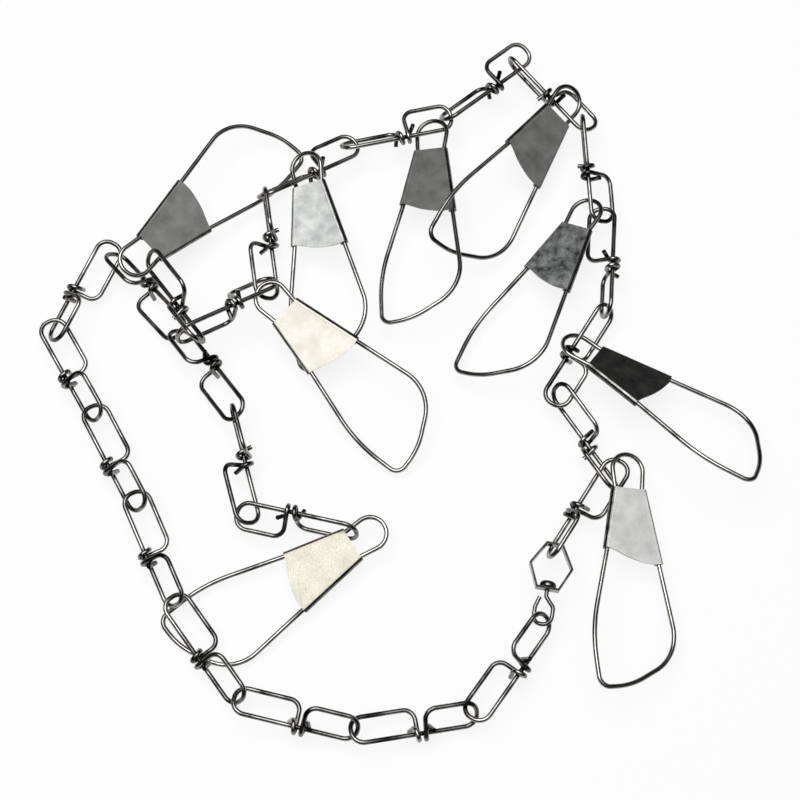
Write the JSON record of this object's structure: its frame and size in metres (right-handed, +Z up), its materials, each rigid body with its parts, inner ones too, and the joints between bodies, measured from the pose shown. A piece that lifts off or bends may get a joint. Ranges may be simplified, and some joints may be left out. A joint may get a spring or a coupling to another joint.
{
  "type": "fish stringer",
  "caption": "Chain fish stringer: knotted wire links joined by a swivel, hung with safety-pin snaps that close on a folded sheet clasp.",
  "frame": {"origin": "middle of the laid-out chain, on the ground under it", "axes": "+Z up from the ground, +Y to the far side of the picture, +X to its right"},
  "size_m": [0.3404, 0.352, 0.0361],
  "materials": {
    "link_wire": "bright nickel plate on bent wire",
    "snap_wire": "bright nickel plate on spring wire",
    "clasp_sheet": "bright nickel plate on folded sheet",
    "swivel_strip": "bright nickel plate on bent strip",
    "swivel_eye": "bright nickel plate on headed wire"
  },
  "bodies": {
    "swivel_frame": {"swivel_frame": "swivel_strip"},
    "swivel_eye": {"swivel_eye": "swivel_eye"},
    "tether_link_01": {"tether_link_01": "link_wire"},
    "tether_link_02": {"tether_link_02": "link_wire"},
    "tether_link_03": {"tether_link_03": "link_wire"},
    "tether_link_04": {"tether_link_04": "link_wire"},
    "tether_link_05": {"tether_link_05": "link_wire"},
    "tether_link_06": {"tether_link_06": "link_wire"},
    "tether_link_07": {"tether_link_07": "link_wire"},
    "tether_link_08": {"tether_link_08": "link_wire"},
    "tether_link_09": {"tether_link_09": "link_wire"},
    "tether_link_10": {"tether_link_10": "link_wire"},
    "tether_link_11": {"tether_link_11": "link_wire"},
    "tether_link_12": {"tether_link_12": "link_wire"},
    "end_snap": {"end_snap_wire": "snap_wire", "end_snap_clasp": "clasp_sheet"},
    "end_snap_gate": {"end_snap_gate": "snap_wire"},
    "stringer_link_01": {"stringer_link_01": "link_wire"},
    "stringer_link_02": {"stringer_link_02": "link_wire"},
    "stringer_link_03": {"stringer_link_03": "link_wire"},
    "stringer_link_04": {"stringer_link_04": "link_wire"},
    "stringer_link_05": {"stringer_link_05": "link_wire"},
    "stringer_link_06": {"stringer_link_06": "link_wire"},
    "stringer_link_07": {"stringer_link_07": "link_wire"},
    "stringer_link_08": {"stringer_link_08": "link_wire"},
    "stringer_link_09": {"stringer_link_09": "link_wire"},
    "stringer_link_10": {"stringer_link_10": "link_wire"},
    "stringer_link_11": {"stringer_link_11": "link_wire"},
    "stringer_link_12": {"stringer_link_12": "link_wire"},
    "snap_8": {"snap_8_wire": "snap_wire", "snap_8_clasp": "clasp_sheet"},
    "snap_8_gate": {"snap_8_gate": "snap_wire"},
    "snap_7": {"snap_7_wire": "snap_wire", "snap_7_clasp": "clasp_sheet"},
    "snap_7_gate": {"snap_7_gate": "snap_wire"},
    "snap_6": {"snap_6_wire": "snap_wire", "snap_6_clasp": "clasp_sheet"},
    "snap_6_gate": {"snap_6_gate": "snap_wire"},
    "snap_5": {"snap_5_wire": "snap_wire", "snap_5_clasp": "clasp_sheet"},
    "snap_5_gate": {"snap_5_gate": "snap_wire"},
    "snap_4": {"snap_4_wire": "snap_wire", "snap_4_clasp": "clasp_sheet"},
    "snap_4_gate": {"snap_4_gate": "snap_wire"},
    "snap_3": {"snap_3_wire": "snap_wire", "snap_3_clasp": "clasp_sheet"},
    "snap_3_gate": {"snap_3_gate": "snap_wire"},
    "snap_2": {"snap_2_wire": "snap_wire", "snap_2_clasp": "clasp_sheet"},
    "snap_2_gate": {"snap_2_gate": "snap_wire"},
    "snap_1": {"snap_1_wire": "snap_wire", "snap_1_clasp": "clasp_sheet"},
    "snap_1_gate": {"snap_1_gate": "snap_wire"}
  },
  "joints": [
    {"name": "swivel_eye_turn", "type": "hinge", "parent": "swivel_frame", "child": "swivel_eye", "pos_m": [0.06927, -0.10595, 0.01438], "axis": [-0.1908, -0.9816, 0], "range_deg": [0, 120]},
    {"name": "tether_link_01_swing", "type": "hinge", "parent": "swivel_eye", "child": "tether_link_01", "pos_m": [0.06613, -0.12215, 0.01438], "axis": [-0.9482, 0.1843, -0.2588], "range_deg": [0, 30]},
    {"name": "tether_link_02_swing", "type": "hinge", "parent": "tether_link_01", "child": "tether_link_02", "pos_m": [0.03672, -0.16121, 0.0089], "axis": [-0.017, 0.716, 0.6979], "range_deg": [0, 30]},
    {"name": "tether_link_03_swing", "type": "hinge", "parent": "tether_link_02", "child": "tether_link_03", "pos_m": [-0.01638, -0.16925, 0.01169], "axis": [0.2408, 0.6709, 0.7014], "range_deg": [0, 30]},
    {"name": "tether_link_04_swing", "type": "hinge", "parent": "tether_link_03", "child": "tether_link_04", "pos_m": [-0.07129, -0.15543, 0.01291], "axis": [-0.177, -0.9501, 0.2567], "range_deg": [0, 30]},
    {"name": "tether_link_05_swing", "type": "hinge", "parent": "tether_link_04", "child": "tether_link_05", "pos_m": [-0.09687, -0.10863, 0.01215], "axis": [-0.1736, 0.9848, 0], "range_deg": [0, 30]},
    {"name": "tether_link_06_swing", "type": "hinge", "parent": "tether_link_05", "child": "tether_link_06", "pos_m": [-0.12431, -0.06316, 0.01252], "axis": [-0.1736, 0.9848, 0], "range_deg": [0, 30]},
    {"name": "tether_link_07_swing", "type": "hinge", "parent": "tether_link_06", "child": "tether_link_07", "pos_m": [-0.14566, -0.02025, 0.01289], "axis": [0.1736, 0.9848, 0], "range_deg": [0, 30]},
    {"name": "tether_link_08_swing", "type": "hinge", "parent": "tether_link_07", "child": "tether_link_08", "pos_m": [-0.15709, 0.02208, 0.01325], "axis": [0.766, 0.6428, 0], "range_deg": [0, 30]},
    {"name": "tether_link_09_swing", "type": "hinge", "parent": "tether_link_08", "child": "tether_link_09", "pos_m": [-0.13698, 0.05583, 0.00955], "axis": [-0.1736, 0.9848, 0], "range_deg": [0, 30]},
    {"name": "tether_link_10_swing", "type": "hinge", "parent": "tether_link_09", "child": "tether_link_10", "pos_m": [-0.10371, 0.02123, 0.00835], "axis": [0.7012, 0.6656, 0.2553], "range_deg": [0, 30]},
    {"name": "tether_link_11_swing", "type": "hinge", "parent": "tether_link_10", "child": "tether_link_11", "pos_m": [-0.07351, -0.02242, 0.01498], "axis": [0.6753, 0.6139, 0.4087], "range_deg": [0, 14]},
    {"name": "tether_link_12_swing", "type": "hinge", "parent": "tether_link_11", "child": "tether_link_12", "pos_m": [-0.06674, -0.07462, 0.01341], "axis": [0.7873, 0.2263, -0.5735], "range_deg": [0, 30]},
    {"name": "end_snap_swing", "type": "hinge", "parent": "tether_link_12", "child": "end_snap", "pos_m": [-0.02452, -0.07929, 0.00862], "axis": [0.9397, 0.342, 0], "range_deg": [0, 30]},
    {"name": "end_snap_gate_spring", "type": "hinge", "parent": "end_snap", "child": "end_snap_gate", "pos_m": [-0.10263, -0.11348, 0.00321], "axis": [0.0647, 0.061, -0.996], "range_deg": [0, 10], "stiffness_Nm_per_rad": 0.02},
    {"name": "stringer_link_01_swing", "type": "hinge", "parent": "swivel_frame", "child": "stringer_link_01", "pos_m": [0.07328, -0.08534, 0.01438], "axis": [0.9816, -0.1908, 0], "range_deg": [0, 30]},
    {"name": "stringer_link_02_swing", "type": "hinge", "parent": "stringer_link_01", "child": "stringer_link_02", "pos_m": [0.1029, -0.05738, 0.00995], "axis": [0.3951, 0.3084, -0.8653], "range_deg": [0, 16]},
    {"name": "stringer_link_03_swing", "type": "hinge", "parent": "stringer_link_02", "child": "stringer_link_03", "pos_m": [0.07659, -0.00728, 0.01221], "axis": [0.4339, 0.2508, 0.8653], "range_deg": [0, 30]},
    {"name": "stringer_link_04_swing", "type": "hinge", "parent": "stringer_link_03", "child": "stringer_link_04", "pos_m": [0.10291, 0.0328, 0.01412], "axis": [0.5345, -0.23, -0.8132], "range_deg": [0, 30]},
    {"name": "stringer_link_05_swing", "type": "hinge", "parent": "stringer_link_04", "child": "stringer_link_05", "pos_m": [0.10205, 0.08564, 0.01296], "axis": [-0.964, 0.0641, -0.258], "range_deg": [0, 30]},
    {"name": "stringer_link_06_swing", "type": "hinge", "parent": "stringer_link_05", "child": "stringer_link_06", "pos_m": [0.09372, 0.13548, 0.01524], "axis": [0.0793, 0.1307, -0.9882], "range_deg": [0, 30]},
    {"name": "stringer_link_07_swing", "type": "hinge", "parent": "stringer_link_06", "child": "stringer_link_07", "pos_m": [0.06296, 0.16162, 0.01865], "axis": [0.0868, 0.1504, 0.9848], "range_deg": [0, 16]},
    {"name": "stringer_link_08_swing", "type": "hinge", "parent": "stringer_link_07", "child": "stringer_link_08", "pos_m": [0.02788, 0.13595, 0.0154], "axis": [-0.2341, 0.9567, 0.1732], "range_deg": [0, 24]},
    {"name": "stringer_link_09_swing", "type": "hinge", "parent": "stringer_link_08", "child": "stringer_link_09", "pos_m": [-0.01971, 0.1232, 0.01116], "axis": [-0.515, 0.8572, 0], "range_deg": [0, 30]},
    {"name": "stringer_link_10_swing", "type": "hinge", "parent": "stringer_link_09", "child": "stringer_link_10", "pos_m": [-0.06271, 0.09162, 0.0201], "axis": [-0.766, -0.6428, 0], "range_deg": [0, 30]},
    {"name": "stringer_link_11_swing", "type": "hinge", "parent": "stringer_link_10", "child": "stringer_link_11", "pos_m": [-0.0613, 0.03773, 0.01348], "axis": [-0.8099, -0.1231, 0.5736], "range_deg": [0, 18]},
    {"name": "stringer_link_12_swing", "type": "hinge", "parent": "stringer_link_11", "child": "stringer_link_12", "pos_m": [-0.10198, 0.01208, 0.02665], "axis": [0.093, 0.2607, 0.9609], "range_deg": [0, 30]},
    {"name": "snap_8_swing", "type": "hinge", "parent": "stringer_link_12", "child": "snap_8", "pos_m": [-0.11864, 0.05701, 0.01966], "axis": [-0.6819, 0.648, 0.3395], "range_deg": [0, 30]},
    {"name": "snap_8_gate_spring", "type": "hinge", "parent": "snap_8", "child": "snap_8_gate", "pos_m": [-0.04908, 0.11373, 0.0032], "axis": [-0.3333, 0.138, -0.9327], "range_deg": [0, 10], "stiffness_Nm_per_rad": 0.02},
    {"name": "snap_7_swing", "type": "hinge", "parent": "stringer_link_11", "child": "snap_7", "pos_m": [-0.06097, 0.03847, 0.02197], "axis": [-0.832, -0.5098, 0.2188], "range_deg": [0, 30]},
    {"name": "snap_7_gate_spring", "type": "hinge", "parent": "snap_7", "child": "snap_7_gate", "pos_m": [-0.00355, -0.04459, 0.00496], "axis": [0.1132, 0.2739, -0.9551], "range_deg": [0, 10], "stiffness_Nm_per_rad": 0.02},
    {"name": "snap_6_swing", "type": "hinge", "parent": "stringer_link_09", "child": "snap_6", "pos_m": [-0.04478, 0.1009, 0.01648], "axis": [0.9188, 0.1257, 0.3741], "range_deg": [0, 30]},
    {"name": "snap_6_gate_spring", "type": "hinge", "parent": "snap_6", "child": "snap_6_gate", "pos_m": [-0.04634, 0.00899, 0.00529], "axis": [0.3624, 0.1065, -0.9259], "range_deg": [0, 10], "stiffness_Nm_per_rad": 0.02},
    {"name": "snap_5_swing", "type": "hinge", "parent": "stringer_link_08", "child": "snap_5", "pos_m": [0.01851, 0.12722, 0.01516], "axis": [-0.3225, 0.0556, 0.9449], "range_deg": [0, 20]},
    {"name": "snap_5_gate_spring", "type": "hinge", "parent": "snap_5", "child": "snap_5_gate", "pos_m": [-0.00637, 0.03117, 0.01232], "axis": [0.3225, -0.0556, -0.9449], "range_deg": [0, 10], "stiffness_Nm_per_rad": 0.02},
    {"name": "snap_4_swing", "type": "hinge", "parent": "stringer_link_06", "child": "snap_4", "pos_m": [0.09292, 0.14313, 0.01562], "axis": [0.4776, 0.5989, -0.6428], "range_deg": [0, 26]},
    {"name": "snap_4_gate_spring", "type": "hinge", "parent": "snap_4", "child": "snap_4_gate", "pos_m": [0.01883, 0.07044, 0.02859], "axis": [-0.4635, 0.3385, -0.8189], "range_deg": [0, 10], "stiffness_Nm_per_rad": 0.02},
    {"name": "snap_3_swing", "type": "hinge", "parent": "stringer_link_05", "child": "snap_3", "pos_m": [0.09648, 0.0832, 0.01472], "axis": [0.3443, -0.2172, -0.9134], "range_deg": [0, 30]},
    {"name": "snap_3_gate_spring", "type": "hinge", "parent": "snap_3", "child": "snap_3_gate", "pos_m": [0.03046, 0.00881, 0.00752], "axis": [0.3443, -0.2172, -0.9134], "range_deg": [0, 10], "stiffness_Nm_per_rad": 0.02},
    {"name": "snap_2_swing", "type": "hinge", "parent": "stringer_link_03", "child": "snap_2", "pos_m": [0.08646, 0.01399, 0.01625], "axis": [-0.5407, -0.8326, -0.1199], "range_deg": [0, 30]},
    {"name": "snap_2_gate_spring", "type": "hinge", "parent": "snap_2", "child": "snap_2_gate", "pos_m": [0.15686, -0.05689, 0.0287], "axis": [-0.2345, -0.3894, -0.8907], "range_deg": [0, 10], "stiffness_Nm_per_rad": 0.02},
    {"name": "snap_1_swing", "type": "hinge", "parent": "stringer_link_01", "child": "snap_1", "pos_m": [0.10955, -0.04978, 0.01503], "axis": [0.5412, 0.8334, 0.1124], "range_deg": [0, 30]},
    {"name": "snap_1_gate_spring", "type": "hinge", "parent": "snap_1", "child": "snap_1_gate", "pos_m": [0.09008, -0.14541, 0.0225], "axis": [-0.3256, -0.0165, -0.9454], "range_deg": [0, 10], "stiffness_Nm_per_rad": 0.02}
  ]
}
